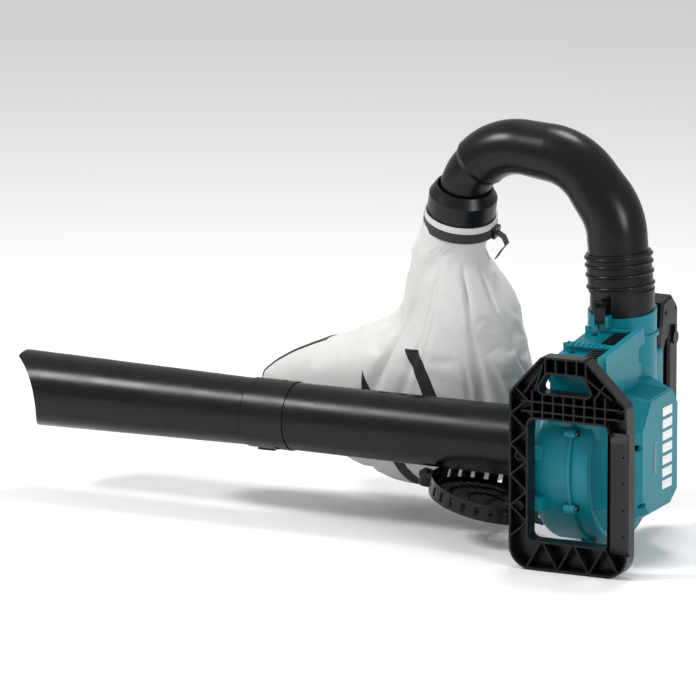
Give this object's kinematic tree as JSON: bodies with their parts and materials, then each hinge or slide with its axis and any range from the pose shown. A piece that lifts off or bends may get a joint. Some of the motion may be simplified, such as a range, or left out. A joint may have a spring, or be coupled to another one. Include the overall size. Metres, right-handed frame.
{
  "type": "leaf blower",
  "caption": "Cordless leaf blower in vacuum mode: scroll fan housing, suction pipe, bent outlet pipe, hinged inlet cover, ribbed base, loop handle and cloth dust bag.",
  "frame": {"origin": "middle of the main grip, where the hand holds the tool", "axes": "+X along the fan and pipe axis towards the motor, the nozzle mouth at -X; +Z towards the outlet and the bent pipe; +Y from the base frame towards the main grip"},
  "size_m": [1.022, 0.3581, 0.5885],
  "materials": {
    "teal_plastic": "satin",
    "black_plastic": "satin",
    "grey_plastic": "satin",
    "black_rubber": "matte",
    "cream_rubber": "matte",
    "steel": "brushed",
    "zinc_screw": "satin",
    "brass_blade": "polished",
    "copper_wire": "varnished",
    "motor_metal": "cast",
    "white_fabric": "woven",
    "webbing": "woven"
  },
  "bodies": {
    "housing": {"volute_inlet_half": "teal_plastic", "volute_motor_half": "teal_plastic", "housing_screws": "zinc_screw", "motor_cover": "teal_plastic", "motor_cover_screws": "zinc_screw", "outlet_collar": "teal_plastic", "latch_pin": "steel", "outlet_seal": "black_rubber", "suction_pipe_rear": "black_plastic", "pipe_seal": "black_rubber", "inlet_ring": "black_plastic", "inlet_ring_screws": "zinc_screw", "cover_hinge_pin": "steel", "cover_spring": "steel", "battery_tray": "teal_plastic", "tray_screws": "zinc_screw", "tray_stop_pads": "cream_rubber", "terminal_block_near": "black_plastic", "terminal_block_far": "black_plastic", "terminal_blades": "brass_blade", "tray_pedestal": "teal_plastic", "controller_case": "motor_metal", "base_frame": "black_plastic", "base_grip_bar": "grey_plastic", "base_screws": "zinc_screw", "handle_shell_inlet_side": "black_plastic", "handle_shell_motor_side": "black_plastic", "handle_screws": "zinc_screw", "handle_grip_cover": "black_rubber", "trigger_pin": "steel", "switch_unit": "black_plastic", "stator_core": "steel", "stator_coils": "copper_wire", "bearing_front": "steel", "bearing_rear": "steel", "motor_bracket": "motor_metal", "motor_bracket_screws": "zinc_screw", "motor_end_bell": "motor_metal", "elbow_pipe": "black_plastic", "bag_sleeve": "black_plastic", "dust_bag": "white_fabric", "bag_neck_cuff": "white_fabric", "bag_neck_strap": "webbing", "bag_neck_buckle": "black_plastic", "bag_strap_tail": "webbing", "bag_end_strap": "webbing", "power_leads": "black_rubber"},
    "rotor": {"impeller": "black_plastic", "impeller_nut": "steel", "motor_shaft": "steel", "rotor_core": "steel"},
    "cover": {"inlet_cover": "black_plastic"},
    "lock_screw": {"cover_lock_screw": "black_plastic"},
    "latch": {"outlet_latch": "black_plastic"},
    "nozzle": {"suction_pipe_front": "black_plastic"},
    "trigger": {"trigger": "black_plastic"},
    "speed_lever": {"cruise_lever": "black_plastic"},
    "button": {"power_button": "grey_plastic"}
  },
  "joints": [
    {"name": "rotor_spin", "type": "hinge", "parent": "housing", "child": "rotor", "pos_m": [-0.005, -0.189, -0.04], "axis": [1, 0, 0], "continuous": true},
    {"name": "cover_swing", "type": "hinge", "parent": "housing", "child": "cover", "pos_m": [-0.087, -0.189, -0.137], "axis": [0, -1, 0], "range_deg": [0, 50], "stiffness_Nm_per_rad": 0.13, "springref_deg": -76.78},
    {"name": "lock_screw_turn", "type": "hinge", "parent": "cover", "child": "lock_screw", "pos_m": [-0.27944, -0.189, -0.10591], "axis": [0.225, 0, 0.9744], "range_deg": [0, 360]},
    {"name": "latch_open", "type": "hinge", "parent": "housing", "child": "latch", "pos_m": [-0.025, -0.157, 0.142], "axis": [1, 0, 0], "range_deg": [0, 35], "stiffness_Nm_per_rad": 0.08, "springref_deg": -17.19},
    {"name": "nozzle_twist", "type": "hinge", "parent": "housing", "child": "nozzle", "pos_m": [-0.505, -0.189, -0.04], "axis": [1, 0, 0], "range_deg": [0, 30]},
    {"name": "trigger_pull", "type": "hinge", "parent": "housing", "child": "trigger", "pos_m": [0, -0.008, 0.061], "axis": [1, 0, 0], "range_deg": [0, 12], "stiffness_Nm_per_rad": 0.9, "springref_deg": -8.59},
    {"name": "speed_lever_turn", "type": "hinge", "parent": "housing", "child": "speed_lever", "pos_m": [0.02, -0.002, 0.088], "axis": [1, 0, 0], "range_deg": [0, 70]},
    {"name": "button_press", "type": "slide", "parent": "housing", "child": "button", "axis": [0, -1, 0], "range_m": [0, 0.0015], "stiffness_N_per_m": 600, "springref_m": -0.0015}
  ]
}
